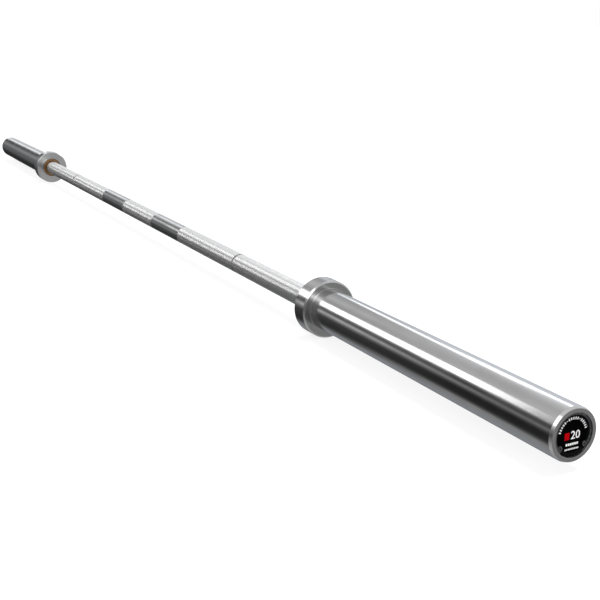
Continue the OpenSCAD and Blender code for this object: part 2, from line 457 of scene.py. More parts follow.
class Finishes:
    """One material for each finish, made once and shared by both ends."""

    def __init__(self) -> None:
        """Builds every finish of the bar."""
        # Oxide rubbed bright, plastic with a spark-eroded grain, and film with an orange
        # peel and scuffs that run across it
        oxide = Coating(
            name="black_oxide",
            slot="black_oxide_steel",
            metal=0.6,
            colour=(0.08, 0.08, 0.085),
            patch_colour=(0.2, 0.2, 0.205),
            patch_size=2 * MM,
            patch_range=(0.5, 0.78),
            grain_size=MM / 3.5,
            grain_detail=3,
            roughness=(0.32, 0.5),
            relief=(0.4, 0.004 * MM),
        )
        plastic = Coating(
            name="moulded_plastic",
            slot="black_plastic",
            gloss=0.05,
            colour=(0.003, 0.003, 0.0032),
            patch_colour=(0.0054, 0.0054, 0.00576),
            patch_size=MM / 2.6,
            patch_range=(0.3, 0.75),
            grain_size=MM / 2.6,
            grain_detail=4,
            roughness=(0.4, 0.6),
            relief=(0.6, 0.012 * MM),
        )
        film = Coating(
            name="label_film",
            slot="label_film",
            gloss=0.015,
            colour=(0.0008, 0.0008, 0.0009),
            patch_colour=(0.002, 0.002, 0.002),
            patch_size=MM / 1.5,
            patch_range=(0.55, 0.75),
            patch_detail=3,
            patch_stretch=0.08,
            grain_size=MM / 0.9,
            grain_detail=2,
            roughness=(0.44, 0.58),
            relief=(0.3, 0.006 * MM),
        )
        white, pale = (0.86, 0.86, 0.86), (0.7, 0.7, 0.7)
        red, dull_red = (0.42, 0.001, 0.004), (0.34, 0.002, 0.004)
        self.kinds = {
            "chrome": TurnedMetal("polished_chrome", "polished_chrome"),
            # Painted shade darkens the sleeve's bore, and the bar's ring-mark grooves and spindle
            "bored": TurnedMetal("bored_chrome", "polished_chrome", recess=20.2 * MM),
            "grip": TurnedMetal(
                "smooth_grip", "knurled_chrome", recess=13.8 * MM, recess_painted_shade=(0.2, 0.2, 0.2)
            ),
            "knurl": KnurledMetal("knurled_chrome", "knurled_chrome"),
            "bronze": SinteredBronze("sintered_bronze", "bronze"),
            "steel": TurnedMetal(
                "ground_steel",
                "bare_steel",
                colour=(0.42, 0.42, 0.43),
                rub_colour=(0.33, 0.33, 0.34),
                roughness=0.3,
            ),
            "oxide": oxide,
            "plastic": plastic,
            "film": film,
            "white_ink": replace(film, name="white_ink", colour=white, patch_colour=pale),
            "red_ink": replace(film, name="red_ink", colour=red, patch_colour=dull_red),
        }
        self.materials = {key: kind.material() for key, kind in self.kinds.items()}

    def dress(self, piece: Object, key: str, body: str, *replaced: str) -> None:
        """Gives a new piece its finish and its body, hides the CAD nodes that it stands for, and
        logs it.

        Args:
            piece: The finished piece.
            key: Which finish it takes.
            body: The CAD body that it rides on.
            *replaced: CAD nodes that it stands for.
        """
        piece.data.materials.clear()
        piece.data.materials.append(self.materials[key])
        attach(piece, body)
        if replaced:
            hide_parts(*replaced)
        faces = len(piece.data.polygons)
        LOG.info("%s: %s, %d faces, rides on %s", piece.name, key, faces, body)

    def repaint(self, node: str, key: str) -> None:
        """Gives a CAD node that stays as it is a better finish.

        Args:
            node: The node's name.
            key: Which finish it takes.
        """
        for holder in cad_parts[node].material_slots:
            holder.material = self.materials[key]
        LOG.info("%s: %s, CAD node kept", node, key)


def put(name: str, data: ID) -> Object:
    """Puts an object that holds the data into the scene.

    Args:
        name: The object's name.
        data: Its mesh, lamp, text or camera.

    Returns:
        The object, at the origin.
    """
    holder = bpy.data.objects.new(name, data)
    bpy.context.scene.collection.objects.link(holder)
    return holder


def baked(work: BMesh, name: str) -> Mesh:
    """Ends the work on a mesh.

    Args:
        work: The mesh in work, which is freed.
        name: Name of the result.

    Returns:
        The finished mesh.
    """
    mesh = bpy.data.meshes.new(name)
    work.to_mesh(mesh)
    work.free()
    return mesh


def new_object(name: str, mesh: Mesh, shading: Shading = Shading.SMOOTH) -> Object:
    """Puts a mesh into the scene.

    Args:
        name: The object's name.
        mesh: Its mesh, in the bar's frame.
        shading: How its faces are shaded.

    Returns:
        The object, at the origin.
    """
    mesh.polygons.foreach_set("use_smooth", [shading is Shading.SMOOTH] * len(mesh.polygons))
    return put(name, mesh)


def applied(piece: Object) -> Object:
    """Bakes a piece's modifiers into its mesh.

    Args:
        piece: The piece with live modifiers.

    Returns:
        The same piece, with a plain mesh and no modifiers.
    """
    seen = piece.evaluated_get(bpy.context.evaluated_depsgraph_get())
    piece.data = bpy.data.meshes.new_from_object(seen)
    piece.data.name = piece.name
    piece.modifiers.clear()
    return piece


class Outline:
    """A turned outline with every corner eased by a small arc."""

    # Share of a side that one arc may take, and the least bend that gets an arc
    ROOM = 0.45
    LEAST_BEND = 1e-4

    def __init__(self, corners: Corners, closed: bool = True, steps: int = 3) -> None:
        """Eases the corners.

        Args:
            corners: The values of each Corner, in order round the outline.
            closed: False where the outline starts and ends on the axis.
            steps: Faces across each eased corner.
        """
        self.closed = closed
        self.points: list[Vector] = []
        self.normals: list[Vector] = []
        corners = [Corner(*values) for values in corners]
        spots = [Vector((c.along, c.out)) for c in corners]
        pairs = zip(spots, spots[1:] + spots[:1])
        self.turn = math.copysign(1, sum(a.x * b.y - b.x * a.y for a, b in pairs))
        last = len(corners) - 1
        for i, corner in enumerate(corners):
            before, after = spots[i - 1], spots[(i + 1) % len(spots)]
            if not closed and i in (0, last):
                ends = (spots[0], after) if i == 0 else (before, spots[i])
                self.keep(spots[i], self.outward(*ends))
            else:
                self.ease(before, spots[i], after, corner.edge, steps)

    def keep(self, point: Vector, normal: Vector) -> None:
        """Adds a point and the way that the surface faces there."""
        self.points.append(point)
        self.normals.append(normal)

    def outward(self, start: Vector, end: Vector) -> Vector:
        """The unit normal of an edge, pointing away from the solid."""
        step = (end - start).normalized()
        return Vector((step.y, -step.x)) * self.turn

    def ease(self, before: Vector, here: Vector, after: Vector, edge: float, steps: int) -> None:
        """Adds the arc that eases one corner.

        Args:
            before: The corner before it.
            here: The corner.
            after: The corner after it.
            edge: Radius of the arc, cut down where a side is too short for it.
            steps: Faces across the arc.
        """
        first, second = self.outward(before, here), self.outward(here, after)
        bend = math.atan2(first.x * second.y - first.y * second.x, first.dot(second))
        if abs(bend) < self.LEAST_BEND:
            self.keep(here, first)
            return
        room = self.ROOM * min((here - before).length, (after - here).length)
        slope = math.tan(abs(bend) / 2)
        radius = min(edge, room / slope)
        bulge = math.copysign(1, bend * self.turn)
        start = here - (here - before).normalized() * (radius * slope)
        centre = start - first * (radius * bulge)
        for k in range(steps + 1):
            turn = bend * k / steps
            cos, sin = math.cos(turn), math.sin(turn)
            normal = Vector((first.x * cos - first.y * sin, first.x * sin + first.y * cos))
            self.keep(centre + normal * (radius * bulge), normal)

    def turned(self, name: str, side: Side, around: int = 192) -> Object:
        """Turns the outline about the bar's axis.

        Args:
            name: The piece's name.
            side: Which end it is at.
            around: Faces round the bar.

        Returns:
            A closed piece with exact normals.
        """
        sign, mesh = side.value, bpy.data.meshes.new(name)
        verts, normals, rings = [], [], []
        for point, normal in zip(self.points, self.normals):
            count = 1 if point.y < 1e-9 else around
            rings.append(range(len(verts), len(verts) + count))
            for j in range(count):
                angle = math.tau * j / around
                cos, sin = math.cos(angle), math.sin(angle)
                verts.append((sign * point.x, point.y * cos, point.y * sin))
                share = 0 if count == 1 else normal.y
                normals.append(Vector((sign * normal.x, share * cos, share * sin)).normalized())
        pairs = list(zip(rings, rings[1:]))
        if self.closed:
            pairs.append((rings[-1], rings[0]))
        faces = []
        for one, two in pairs:
            for j in range(around):
                k = (j + 1) % around
                quad = [one[j % len(one)], one[k % len(one)], two[k % len(two)], two[j % len(two)]]
                face = list(dict.fromkeys(quad))
                faces.append(face if self.turn * sign < 0 else face[::-1])
        mesh.from_pydata(verts, [], faces)
        made = new_object(name, mesh)
        mesh.normals_split_custom_set_from_vertices(normals)
        return made


@dataclass
class Knurl:
    """One run of diamond knurl: a closed tube whose outside is cut into pyramids."""

    name: str
    start: float
    end: float
    crest: float
    root: float
    seed: int
    depth_below: float = 0.4 * MM
    around: int = 73
    lean: float = math.radians(30)
    jitter: float = 0.03 * MM
    weld: float = 0.005 * MM

    def tree(self) -> NodeTree:
        """Builds the node tree that lays the diamonds out.

        Returns:
            A tree whose inputs are the run's sizes, its seed and its material.
        """
        tree = bpy.data.node_groups.new("diamond_knurl", "GeometryNodeTree")
        inputs = {
            "Float": ("Start", "End", "Crest", "Root", "Inside", "Lean", "Jitter"),
            "Int": ("Around", "Seed"),
            "Material": ("Finish",),
        }
        for kind, names in inputs.items():
            for name in names:
                tree.interface.new_socket(name, in_out="INPUT", socket_type=f"NodeSocket{kind}")
        tree.interface.new_socket("Geometry", in_out="OUTPUT", socket_type="NodeSocketGeometry")
        board = Board(tree)
        size = board.add("NodeGroupInput").outputs
        calc = board.math
        half_width = calc("DIVIDE", calc("MULTIPLY", size["Crest"], math.pi), size["Around"])
        half_length = calc("DIVIDE", half_width, calc("TANGENT", size["Lean"]))
        length = calc("SUBTRACT", size["End"], size["Start"])
        columns = calc("ROUND", calc("DIVIDE", length, half_length))
        step = calc("DIVIDE", length, columns)
        rows = calc("MULTIPLY", size["Around"], 2)
        # The grid has a column inside at each end, and one more that closes the tube
        span = calc("ADD", columns, 3)
        counts = {0: span, 1: rows, 2: calc("ADD", columns, 4), 3: calc("ADD", rows, 1)}
        grid = board.add("GeometryNodeMeshGrid", counts)
        place = board.add("GeometryNodeInputPosition").outputs[0]
        spot = board.add("ShaderNodeSeparateXYZ", {0: place}).outputs
        column = calc("ROUND", calc("MULTIPLY_ADD", span, 0.5, spot[0]))
        row = calc("ROUND", calc("ADD", spot[1], size["Around"]))
        inset = calc("MINIMUM", calc("MAXIMUM", calc("SUBTRACT", column, 1), 0), columns)
        opening = calc("LESS_THAN", column, calc("ADD", columns, 2.5))
        along = calc("MULTIPLY_ADD", calc("MULTIPLY", inset, opening), step, size["Start"])
        outside, clear_of_ends = (
            calc(
                "MULTIPLY",
                calc("GREATER_THAN", column, first),
                calc("LESS_THAN", column, calc("ADD", columns, last)),
            )
            for first, last in ((0.5, 1.5), (1.5, 0.5))
        )
        odd = calc("MODULO", calc("ADD", column, row), 2)
        peak = calc("MULTIPLY", clear_of_ends, calc("LESS_THAN", odd, 0.5))
        number = calc("MULTIPLY_ADD", column, rows, calc("MODULO", row, rows))
        chance = board.add("FunctionNodeRandomValue", data_type="FLOAT")
        for socket, value in (("ID", number), ("Seed", size["Seed"])):
            board.feed(next(s for s in chance.inputs if s.name == socket), value)
        luck = next(s for s in chance.outputs if s.type == "VALUE")
        rise = calc("SUBTRACT", size["Crest"], size["Root"])
        worn = calc("MULTIPLY", luck, size["Jitter"])
        height = calc("MULTIPLY", peak, calc("SUBTRACT", rise, worn))
        drop = calc("SUBTRACT", size["Root"], size["Inside"])
        body = calc("MULTIPLY_ADD", outside, drop, size["Inside"])
        out = calc("ADD", body, height)
        angle = calc("DIVIDE", calc("MULTIPLY", row, math.pi), size["Around"])
        ring = [calc("MULTIPLY", out, calc(f, angle)) for f in ("COSINE", "SINE")]
        spun = board.add("ShaderNodeCombineXYZ", {0: along, 1: ring[0], 2: ring[1]}).outputs[0]
        steps = (
            ("GeometryNodeSetPosition", {"Position": spun}, {}),
            ("GeometryNodeMergeByDistance", {"Distance": self.weld}, {}),
            ("GeometryNodeTriangulate", {}, {"quad_method": "SHORTEST_DIAGONAL"}),
            ("GeometryNodeSetShadeSmooth", {"Shade Smooth": False}, {}),
            ("GeometryNodeRealizeInstances", {}, {}),
            ("GeometryNodeSetMaterial", {"Material": size["Finish"]}, {}),
        )
        shape = grid.outputs[0]
        for kind, inputs, settings in steps:
            shape = board.add(kind, {0: shape, **inputs}, **settings).outputs[0]
        board.add("NodeGroupOutput", {0: shape})
        return tree

    def build(self, tree: NodeTree, finishes: Finishes) -> None:
        """Cuts the run and rests it on the bar as a plain mesh.

        Args:
            tree: The shared knurl tree.
            finishes: The finishes to dress it with.
        """
        piece = new_object(self.name, bpy.data.meshes.new(self.name))
        modifier = piece.modifiers.new("knurl", "NODES")
        modifier.node_group = tree
        # The tree's other inputs have the names of the run's own values
        values = {name.title(): value for name, value in vars(self).items()}
        values["Inside"] = self.root - self.depth_below
        values["Finish"] = finishes.materials["knurl"]
        for item in tree.interface.items_tree:
            if item.in_out == "INPUT":
                modifier[item.identifier] = values[item.name]
        piece = applied(piece)
        point_outwards(piece.data)
        finishes.dress(piece, "knurl", "bar")


def point_outwards(mesh: Mesh) -> None:
    """Turns a mesh's faces outwards.

    Args:
        mesh: A closed mesh.
    """
    work = bmesh.new()
    work.from_mesh(mesh)
    bmesh.ops.recalc_face_normals(work, faces=work.faces[:])
    work.to_mesh(mesh)
    work.free()


@dataclass
class Shaft:
    """The solid bar: knurled grip, ring marks, shoulders, spindles and grooves."""

    centre_knurl: float = 156 * MM
    smooth_band: float = 126 * MM
    rings_apart: float = 840 * MM
    ring_width: float = 4 * MM
    ring_depth: float = 0.3 * MM
    collar_land: float = 12 * MM
    knurl_depth: float = 0.15 * MM
    core_depth: float = 0.3 * MM
    shoulder_bevel: float = 1 * MM
    washer_gap: float = 0.3 * MM
    end_float: float = 0.3 * MM
    ring_play: float = 0.05 * MM
    reach: Reach = field(default_factory=lambda: Reach.of("shaft"))
    collar: Reach = field(default_factory=lambda: Reach.of("right_collar"))
    washer: Reach = field(default_factory=lambda: Reach.of("right_inner_thrust_washer"))
    clip: Reach = field(default_factory=lambda: Reach.of("right_spindle_snap_ring"))

    def runs(self) -> list[tuple[str, float, float]]:
        """The knurl's runs on the right half, from the centre outwards.

        Returns:
            The name, start and end of each run.
        """
        band = self.centre_knurl / 2
        outer = band + self.smooth_band
        ring = self.rings_apart / 2
        half = self.ring_width / 2
        return [
            ("centre_knurl", 0, band),
            ("inner_knurl", outer, ring - half),
            ("outer_knurl", ring + half, self.collar.near - self.collar_land),
        ]

    def half(self) -> Corners:
        """The outline of the right half, from the middle to the spindle's end.

        Returns:
            Its corners, with each knurled run cut down to the core.
        """
        grip = self.reach.outer
        core = grip - self.core_depth
        mark = grip - self.ring_depth
        spindle = self.washer.inner - self.washer_gap
        shoulder = self.washer.near - self.end_float
        groove = self.clip.inner - self.ring_play
        (_, _, band), (_, outer, ring), (_, ring_far, land) = self.runs()
        bevel = self.shoulder_bevel
        groove_near = self.clip.near - self.ring_play
        groove_far = self.clip.far + self.ring_play
        end = self.reach.far
        return [
            (band, core),
            (band, grip),
            (outer, grip),
            (outer, core),
            (ring, core),
            (ring, mark),
            (ring_far, mark),
            (ring_far, core),
            (land, core),
            (land, grip),
            (shoulder - bevel, grip),
            (shoulder, grip - bevel),
            (shoulder, spindle, 0.5 * MM),
            (groove_near, spindle),
            (groove_near, groove),
            (groove_far, groove),
            (groove_far, spindle),
            (end - bevel, spindle),
            (end, spindle - bevel),
            (end, 0),
        ]

    def build(self, finishes: Finishes) -> None:
        """Builds the bar and every run of knurl on it.

        Args:
            finishes: The finishes to dress it with.
        """
        right = self.half()
        left = [(-along, *rest) for along, *rest in reversed(right)]
        bar = Outline(left + right, closed=False, steps=2).turned("shaft_core", Side.RIGHT)
        finishes.dress(bar, "grip", "bar", "shaft")
        crest = self.reach.outer
        root = crest - self.knurl_depth
        centre, *outer = self.runs()
        runs = [(centre[0], -centre[2], centre[2])]
        for name, start, end in outer:
            runs.append((Side.RIGHT.node(name), start, end))
            runs.append((Side.LEFT.node(name), -end, -start))
        tree = None
        for seed, (name, start, end) in enumerate(runs):
            knurl = Knurl(name, start, end, crest, root, seed)
            tree = tree or knurl.tree()
            knurl.build(tree, finishes)


@dataclass
class SleeveEnd:
    """One end of the bar: the spinning sleeve and everything that it carries."""

    side: Side
    lead: float = 1.1 * MM
    lead_length: float = 3.3 * MM
    mouth_bevel: float = 0.3 * MM
    collar_bevel_out: float = 1.8 * MM
    collar_bevel_in: float = 1.5 * MM
    bead_width: float = 1.2 * MM
    bead_height: float = 0.25 * MM
    seam: float = 0.1 * MM
    flange: float = 2.5 * MM
    flange_step: float = 2.25 * MM
    bush_bevel: float = 0.8 * MM
    bush_bore: float = 14.05 * MM
    sleeve_bore: float = 13.3 * MM
    bay_gap: float = 0.7 * MM
    cap_clear: float = 0.1 * MM
    ring_play: float = 0.05 * MM
    label_seat: float = 0.1 * MM
    ring_width: float = 3.2 * MM
    ring_taper: float = 0.5 * MM
    ear: float = 2.3 * MM
    ear_inset: float = 1.1 * MM
    ear_angle: float = math.radians(52)
    ear_hole: float = 0.9 * MM
    ring_bevel: float = 0.18 * MM
    bevelled_from: float = math.radians(60)
    sharp_from: float = math.radians(50)

    def __post_init__(self) -> None:
        """Measures this end's CAD nodes."""
        names = (
            "collar", "sleeve", "inner_bush", "inner_thrust_washer", "outer_bush",
            "outer_thrust_washer", "end_cap", "end_label", "end_snap_ring",
        )  # fmt: skip
        self.cad = {name: Reach.of(self.side.node(name)) for name in names}

    def turn(self, name: str, corners: Corners, closed: bool = True) -> Object:
        """Turns one of this end's pieces from its outline."""
        return Outline(corners, closed).turned(self.side.node(name), self.side)

    def sleeve(self) -> Object:
        """Builds the loading sleeve, with its spigot, seats and grooves.

        Returns:
            The sleeve.
        """
        cad = self.cad
        body, collar, cap = cad["sleeve"], cad["collar"], cad["end_cap"]
        clip, inner, outer = cad["end_snap_ring"], cad["inner_bush"], cad["outer_bush"]
        spigot = collar.inner
        end_bore = cap.outer + self.cap_clear
        groove = clip.outer + self.ring_play
        bay = outer.outer + self.bay_gap
        outer_bush = outer.outer - self.flange_step
        inner_bush = inner.outer - self.flange_step
        pocket = inner.outer + self.ring_play
        inner_seat = inner.near + self.flange
        outer_seat = outer.far - self.flange
        inner_step = cad["inner_thrust_washer"].far
        mouth = self.mouth_bevel
        fine = 0.05 * MM
        corners = [
            (body.near, spigot, 0.2 * MM),
            (collar.far, spigot, fine),
            (collar.far, body.outer, self.seam),
            (body.far - self.lead_length, body.outer, 2 * MM),
            (body.far, body.outer - self.lead, 0.35 * MM),
            (body.far, end_bore + mouth, 0.1 * MM),
            (body.far - mouth, end_bore, 0.1 * MM),
            (clip.far + self.ring_play, end_bore, fine),
            (clip.far + self.ring_play, groove, fine),
            (clip.near - self.ring_play, groove, fine),
            (clip.near - self.ring_play, end_bore, fine),
            (cap.near, end_bore, fine),
            (cap.near, bay, fine),
            (outer_seat, bay, fine),
            (outer_seat, outer_bush, fine),
            (outer.near, outer_bush, fine),
            (outer.near, self.sleeve_bore, fine),
            (inner_step, self.sleeve_bore, fine),
            (inner_step, inner_bush, fine),
            (inner_seat, inner_bush, fine),
            (inner_seat, pocket, fine),
            (body.near, pocket, 0.2 * MM),
        ]
        return self.turn("loading_sleeve", corners)

    def collar(self) -> Object:
        """Builds the collar that plates stop against.

        Returns:
            The collar.
        """
        cad = self.cad["collar"]
        bevel_in, bevel_out = self.collar_bevel_in, self.collar_bevel_out
        sleeve = self.cad["sleeve"].outer
        bead = sleeve + self.bead_width
        corners = [
            (cad.near, cad.inner, 0.2 * MM),
            (cad.near, cad.outer - bevel_in, 0.35 * MM),
            (cad.near + bevel_in, cad.outer, 0.35 * MM),
            (cad.far - bevel_out, cad.outer, 0.5 * MM),
            (cad.far, cad.outer - bevel_out, 0.4 * MM),
            (cad.far, bead, 0.1 * MM),
            (cad.far + self.bead_height, bead - self.bead_height, 0.2 * MM),
            (cad.far + self.bead_height, sleeve, 0.1 * MM),
            (cad.far, sleeve, 0.05 * MM),
            (cad.far, cad.inner, 0.05 * MM),
        ]
        return self.turn("collar_ring", corners)

    def bush(self) -> Object:
        """Builds the flanged bronze bush that shows round the shaft.

        Returns:
            The bush.
        """
        cad = self.cad["inner_bush"]
        barrel = cad.outer - self.flange_step
        corners = [
            (cad.near, self.bush_bore + self.bush_bevel),
            (cad.near, cad.outer, 0.3 * MM),
            (cad.near + self.flange, cad.outer),
            (cad.near + self.flange, barrel),
            (cad.far, barrel),
            (cad.far, self.bush_bore),
            (cad.near + self.bush_bevel, self.bush_bore),
        ]
        return self.turn("bronze_bush", corners)

    def cap(self) -> Object:
        """Builds the moulded end cap with its seat for the label.

        Returns:
            The cap.
        """
        cap, label = self.cad["end_cap"], self.cad["end_label"]
        seat = label.outer + self.label_seat
        corners = [
            (cap.near, 0),
            (cap.near, cap.outer, 0.4 * MM),
            (cap.far, cap.outer, 0.4 * MM),
            (cap.far, seat, 0.15 * MM),
            (label.near, seat, 0.05 * MM),
            (label.near, 0),
        ]
        return self.turn("moulded_cap", corners, closed=False)

    def label(self) -> Object:
        """Builds the film disc on the cap.

        Returns:
            The label.
        """
        cad = self.cad["end_label"]
        corners = [
            (cad.near, 0),
            (cad.near, cad.outer, 0.1 * MM),
            (cad.far, cad.outer, 0.15 * MM),
            (cad.far, 0),
        ]
        return self.turn("film_disc", corners, closed=False)

    def ring_outline(self) -> tuple[list[Vector], list[list[Vector]]]:
        """Draws the end snap ring, seen from outside with its gap straight down.

        Returns:
            The outside line, and the lines round its two plier holes.
        """
        out = self.cad["end_snap_ring"].outer
        inside = out - self.ring_width
        shift = self.ring_taper / 2
        bore = inside + shift
        ear_place = inside - self.ear_inset
        gap = self.ear_angle - math.asin(self.ear / ear_place)

        def down(angle: float, radius: float) -> Vector:
            """A point at an angle from straight down."""
            return Vector((radius * math.sin(angle), -radius * math.cos(angle)))

        def arc(centre: Vector, radius: float, start: float, end: float, steps: int) -> list:
            """Points along an arc, its angles taken from straight down."""
            angles = (start + (end - start) * k / steps for k in range(steps + 1))
            return [centre + down(a, radius) for a in angles]

        ear = down(self.ear_angle, ear_place)
        bore_centre = Vector((0, -shift))
        between = ear - bore_centre
        reach = between.length
        lie = math.atan2(between.x, -between.y)
        # Where the ear's edge meets the ring's bore, seen from either middle
        at_ear = math.acos((bore**2 - reach**2 - self.ear**2) / (2 * reach * self.ear))
        at_bore = math.acos((reach**2 + bore**2 - self.ear**2) / (2 * reach * bore))
        right = arc(Vector((0, 0)), out, math.pi, gap, steps=60)
        right += arc(ear, self.ear, gap - math.pi / 2, lie + at_ear - math.tau, steps=18)
        right += arc(bore_centre, bore, lie + at_bore, math.pi, steps=48)[1:]
        left = [Vector((-p.x, p.y)) for p in right[-2:0:-1]]
        ears = ear, Vector((-ear.x, ear.y))
        holes = [arc(place, self.ear_hole, 0, math.tau, steps=20)[:-1] for place in ears]
        return right + left, holes

    def snap_ring(self) -> Object:
        """Builds the end snap ring with eased edges.

        Returns:
            The ring, in its groove.
        """
        cad = self.cad["end_snap_ring"]
        outside, holes = self.ring_outline()
        loops = [outside, *holes]
        work = bmesh.new()
        flat = [p for loop in loops for p in loop]
        verts = [work.verts.new((p.x, p.y, 0)) for p in flat]
        for tri in tessellate_polygon([[p.to_3d() for p in loop] for loop in loops]):
            work.faces.new([verts[i] for i in tri])
        bmesh.ops.dissolve_limit(work, angle_limit=0.01, verts=work.verts[:], edges=work.edges[:])
        pushed = bmesh.ops.extrude_face_region(work, geom=work.faces[:])
        lifted = [v for v in pushed["geom"] if isinstance(v, BMVert)]
        bmesh.ops.translate(work, vec=(0, 0, cad.far - cad.near), verts=lifted)
        bmesh.ops.recalc_face_normals(work, faces=work.faces[:])
        mesh = baked(work, self.side.node("end_clip"))
        mesh.transform(self.side.facing_out(cad.near))
        piece = new_object(mesh.name, mesh)
        bevel = piece.modifiers.new("eased_edges", "BEVEL")
        bevel.width = self.ring_bevel
        bevel.segments = 2
        bevel.limit_method = "ANGLE"
        bevel.angle_limit = self.bevelled_from
        piece = applied(piece)
        piece.data.set_sharp_from_angle(angle=self.sharp_from)
        return piece

    def build(self, finishes: Finishes) -> None:
        """Builds and dresses every piece of this end, and repaints the hidden CAD nodes.

        Args:
            finishes: The finishes to dress them with.
        """
        for make, key, node in (
            (self.sleeve, "bored", "sleeve"),
            (self.collar, "chrome", "collar"),
            (self.bush, "bronze", "inner_bush"),
            (self.cap, "plastic", "end_cap"),
            (self.label, "film", "end_label"),
            (self.snap_ring, "oxide", "end_snap_ring"),
        ):
            finishes.dress(make(), key, self.side.body, self.side.node(node))
        Print(self.side, self.cad["end_label"]).build(finishes)
        for node, key in (
            ("inner_thrust_washer", "steel"),
            ("outer_bush", "bronze"),
            ("outer_thrust_washer", "steel"),
            ("spindle_snap_ring", "oxide"),
        ):
            finishes.repaint(self.side.node(node), key)


@dataclass
class Print:
    """Plain marks printed on a label: a ring of ticks, a number, a bar and two rows."""

    side: Side
    label: Reach
    ink: float = 0.03 * MM
    tick_ring: float = 14.6 * MM
    tick_sweep: float = math.radians(150)
    ticks: int = 17
    tick_size: Pair = (1.1 * MM, 2.3 * MM)
    short_tick: Pair = (1.1 * MM, 0.8 * MM)
    number: str = "20"
    number_size: float = 10.26 * MM
    number_weight: float = 0.08 * MM
    number_place: Pair = (3.2 * MM, -1 * MM)
    bar_place: Pair = (-5.9 * MM, -1 * MM)
    bar_size: Pair = (5 * MM, 6.4 * MM)
    row_gap: float = 0.6 * MM

    def slab(self, work: BMesh, centre: Pair, size: Pair, turn: float = 0) -> None:
        """Adds a thin printed block.

        Args:
            work: The mesh that it joins.
            centre: Its middle on the label.
            size: Its width and height.
            turn: Its angle on the label.
        """
        spin = Matrix.Rotation(turn, 4, "Z")
        scale = Matrix.Diagonal((*size, self.ink, 1))
        lift = Matrix.Translation((*centre, self.ink / 2))
        bmesh.ops.create_cube(work, size=1, matrix=lift @ spin @ scale)

    def row(self, work: BMesh, drop: float, count: int, size: Pair) -> None:
        """Adds a row of printed blocks below the number.

        Args:
            work: The mesh that they join.
            drop: Height of the row on the label.
            count: How many blocks it has.
            size: Width and height of each.
        """
        for k in range(count):
            along = (k - (count - 1) / 2) * (size[0] + self.row_gap)
            self.slab(work, (along, drop), size)

    def finish(self, name: str, work: BMesh) -> Object:
        """Puts a printed mesh on the face of the label.

        Args:
            name: The print's name at this end.
            work: The mesh, drawn flat.

        Returns:
            The print.
        """
        mesh = baked(work, self.side.node(name))
        mesh.transform(self.side.facing_out(self.label.far))
        return new_object(mesh.name, mesh, Shading.FLAT)

    def figures(self) -> BMesh:
        """Builds the number in the middle of the label.

        Returns:
            Its mesh, with the ink's thickness.
        """
        text = bpy.data.curves.new("number", "FONT")
        text.body = self.number
        text.size = self.number_size
        text.extrude = self.ink / 2
        text.offset = self.number_weight
        text.align_x = "CENTER"
        text.align_y = "CENTER"
        text.resolution_u = 6
        holder = put("number", text)
        seen = holder.evaluated_get(bpy.context.evaluated_depsgraph_get())
        mesh = bpy.data.meshes.new_from_object(seen)
        bpy.data.objects.remove(holder)
        work = bmesh.new()
        work.from_mesh(mesh)
        bpy.data.meshes.remove(mesh)
        bmesh.ops.remove_doubles(work, verts=work.verts[:], dist=0.001 * MM)
        bmesh.ops.recalc_face_normals(work, faces=work.faces[:])
        bmesh.ops.translate(work, vec=(*self.number_place, self.ink / 2), verts=work.verts[:])
        return work

    def build(self, finishes: Finishes) -> None:
        """Builds the white and the red print.

        Args:
            finishes: The finishes that hold the inks.
        """
        white, red = self.figures(), bmesh.new()
        for k in range(self.ticks):
            turn = self.tick_sweep * (0.5 - k / (self.ticks - 1))
            spot = (-self.tick_ring * math.sin(turn), self.tick_ring * math.cos(turn))
            # Every sixth tick is short
            self.slab(white, spot, self.short_tick if k % 6 == 5 else self.tick_size, turn)
        self.row(white, drop=-8.6 * MM, count=6, size=(1.7 * MM, 2.1 * MM))
        self.row(white, drop=-13 * MM, count=9, size=(1.1 * MM, 1.4 * MM))
        self.slab(red, self.bar_place, self.bar_size)
        for name, work, ink in (("white_print", white, "white_ink"), ("red_print", red, "red_ink")):
            finishes.dress(self.finish(name, work), ink, self.side.body)


@dataclass(frozen=True)
class Walls:
    """The studio's walls as one stretch of the bar mirrors them.

    Each level is an angle round the bar, in degrees, and the brightness there. The walls
    take over from those before them where a mirrored ray's share along the bar goes from
    start to end.
    """

    name: str
    start: float
    end: float
    levels: tuple[Pair, ...]

    def ramp(self, board: Board, around: NodeSocket) -> NodeSocket:
        """Adds a ramp of the walls' brightness.

        Args:
            board: The world's node tree.
            around: The angle round the bar, as a share of a turn.

        Returns:
            The ramp's colour.
        """
        ramp = board.add("ShaderNodeValToRGB", {0: around}, label=self.name)
        ramp.color_ramp.interpolation = "EASE"
        stops = ramp.color_ramp.elements
        (_, first), *further = self.levels
        for stop in stops:
            stop.color = (first, first, first, 1)
        for angle, level in further:
            stops.new(angle / 360).color = (level, level, level, 1)
        return ramp.outputs[0]


